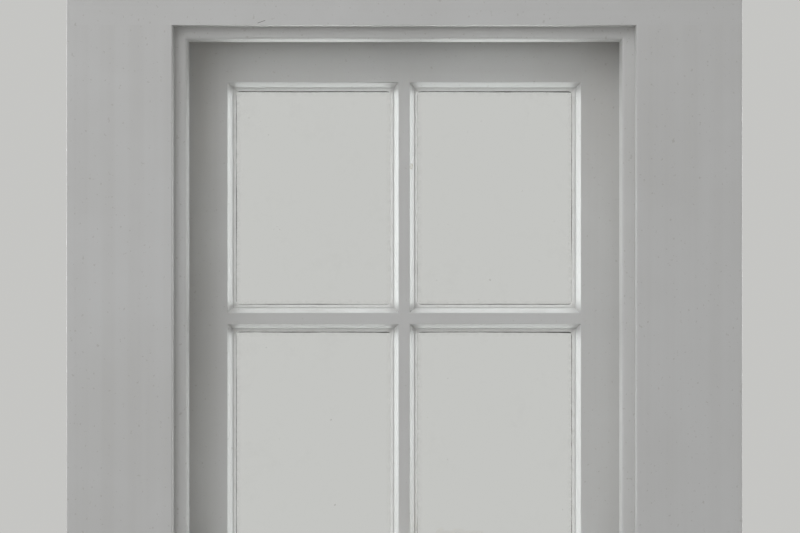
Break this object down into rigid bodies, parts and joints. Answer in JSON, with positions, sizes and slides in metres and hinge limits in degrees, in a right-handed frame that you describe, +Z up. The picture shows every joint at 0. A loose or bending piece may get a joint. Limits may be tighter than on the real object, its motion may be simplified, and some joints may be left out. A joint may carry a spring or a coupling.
{
  "type": "sash window",
  "caption": "Double-hung sash window with divided panes in a weighted box frame, with cords, pulleys, iron weights, casing, stool, meeting-rail fastener and hook lifts.",
  "frame": {"origin": "on the underside of the sill, midway along it, in the plane of the parting beads", "axes": "+X right as seen from the room, +Y outwards through the wall, +Z up"},
  "size_m": [0.74, 0.25, 1.34],
  "materials": {
    "painted_wood": "satin",
    "bare_pine": "matte",
    "glass": "gloss",
    "putty": "satin",
    "cast_iron": "matte",
    "brass": "satin",
    "steel": "satin",
    "cotton_cord": "matte"
  },
  "bodies": {
    "frame": {"sill": "painted_wood", "frame_head": "painted_wood", "pulley_stile_left": "painted_wood", "pulley_stile_right": "painted_wood", "inner_lining_left": "painted_wood", "inner_lining_right": "painted_wood", "inner_lining_head": "painted_wood", "outer_lining_left": "painted_wood", "outer_lining_right": "painted_wood", "outer_lining_head": "painted_wood", "back_lining_left": "bare_pine", "back_lining_right": "bare_pine", "parting_bead_left": "painted_wood", "parting_bead_right": "painted_wood", "parting_bead_head": "painted_wood", "staff_bead_left": "painted_wood", "staff_bead_right": "painted_wood", "staff_bead_head": "painted_wood", "parting_slips": "bare_pine", "pocket_pieces": "painted_wood", "pulley_cases": "brass", "pulley_axle_pins": "steel", "casing_left": "painted_wood", "casing_right": "painted_wood", "casing_head": "painted_wood", "stool": "painted_wood", "apron": "painted_wood", "cords_lower": "cotton_cord", "cords_upper": "cotton_cord"},
    "lower_sash": {"lower_stile_left": "painted_wood", "lower_stile_right": "painted_wood", "lower_bottom_rail": "painted_wood", "lower_meeting_rail": "painted_wood", "lower_vertical_bar": "painted_wood", "lower_cross_bar_left": "painted_wood", "lower_cross_bar_right": "painted_wood", "lower_glass_panes": "glass", "lower_putty": "putty", "sash_lifts": "brass", "fastener_base": "brass"},
    "upper_sash": {"upper_stile_left": "painted_wood", "upper_stile_right": "painted_wood", "upper_top_rail": "painted_wood", "upper_meeting_rail": "painted_wood", "upper_vertical_bar": "painted_wood", "upper_cross_bar_left": "painted_wood", "upper_cross_bar_right": "painted_wood", "upper_glass_panes": "glass", "upper_putty": "putty", "fastener_keeper": "brass"},
    "fastener_lever": {"fastener_lever": "brass"},
    "weight_lower_left": {"weight_lower_left": "cast_iron"},
    "pulley_wheel_lower_left": {"pulley_wheel_lower_left": "brass"},
    "weight_lower_right": {"weight_lower_right": "cast_iron"},
    "pulley_wheel_lower_right": {"pulley_wheel_lower_right": "brass"},
    "weight_upper_left": {"weight_upper_left": "cast_iron"},
    "pulley_wheel_upper_left": {"pulley_wheel_upper_left": "brass"},
    "weight_upper_right": {"weight_upper_right": "cast_iron"},
    "pulley_wheel_upper_right": {"pulley_wheel_upper_right": "brass"}
  },
  "joints": [
    {"name": "lower_sash_slide", "type": "slide", "parent": "frame", "child": "lower_sash", "axis": [0, 0, 1], "range_m": [0, 0.505], "deforming": ["cords_lower"]},
    {"name": "upper_sash_slide", "type": "slide", "parent": "frame", "child": "upper_sash", "axis": [0, 0, -1], "range_m": [0, 0.54], "deforming": ["cords_upper"]},
    {"name": "fastener_swing", "type": "hinge", "parent": "lower_sash", "child": "fastener_lever", "pos_m": [0.06, -0.021, 0.688], "axis": [0, 0, 1], "range_deg": [0, 90]},
    {"name": "weight_lower_left_slide", "type": "slide", "parent": "frame", "child": "weight_lower_left", "axis": [0, 0, -1], "range_m": [0, 0.505]},
    {"name": "pulley_wheel_lower_left_spin", "type": "hinge", "parent": "frame", "child": "pulley_wheel_lower_left", "pos_m": [-0.257, -0.025, 1.15], "axis": [0, -1, 0], "continuous": true},
    {"name": "weight_lower_right_slide", "type": "slide", "parent": "frame", "child": "weight_lower_right", "axis": [0, 0, -1], "range_m": [0, 0.505]},
    {"name": "pulley_wheel_lower_right_spin", "type": "hinge", "parent": "frame", "child": "pulley_wheel_lower_right", "pos_m": [0.257, -0.025, 1.15], "axis": [0, 1, 0], "continuous": true},
    {"name": "weight_upper_left_slide", "type": "slide", "parent": "frame", "child": "weight_upper_left", "axis": [0, 0, 1], "range_m": [0, 0.54]},
    {"name": "pulley_wheel_upper_left_spin", "type": "hinge", "parent": "frame", "child": "pulley_wheel_upper_left", "pos_m": [-0.257, 0.025, 1.15], "axis": [0, 1, 0], "continuous": true},
    {"name": "weight_upper_right_slide", "type": "slide", "parent": "frame", "child": "weight_upper_right", "axis": [0, 0, 1], "range_m": [0, 0.54]},
    {"name": "pulley_wheel_upper_right_spin", "type": "hinge", "parent": "frame", "child": "pulley_wheel_upper_right", "pos_m": [0.257, 0.025, 1.15], "axis": [0, -1, 0], "continuous": true}
  ],
  "couplings": [
    {"joint": "weight_lower_left_slide", "follows": "lower_sash_slide", "ratio": 1},
    {"joint": "pulley_wheel_lower_left_spin", "follows": "lower_sash_slide", "rad_per_m": 44.444},
    {"joint": "weight_lower_right_slide", "follows": "lower_sash_slide", "ratio": 1},
    {"joint": "pulley_wheel_lower_right_spin", "follows": "lower_sash_slide", "rad_per_m": 44.444},
    {"joint": "weight_upper_left_slide", "follows": "upper_sash_slide", "ratio": 1},
    {"joint": "pulley_wheel_upper_left_spin", "follows": "upper_sash_slide", "rad_per_m": 44.444},
    {"joint": "weight_upper_right_slide", "follows": "upper_sash_slide", "ratio": 1},
    {"joint": "pulley_wheel_upper_right_spin", "follows": "upper_sash_slide", "rad_per_m": 44.444}
  ]
}
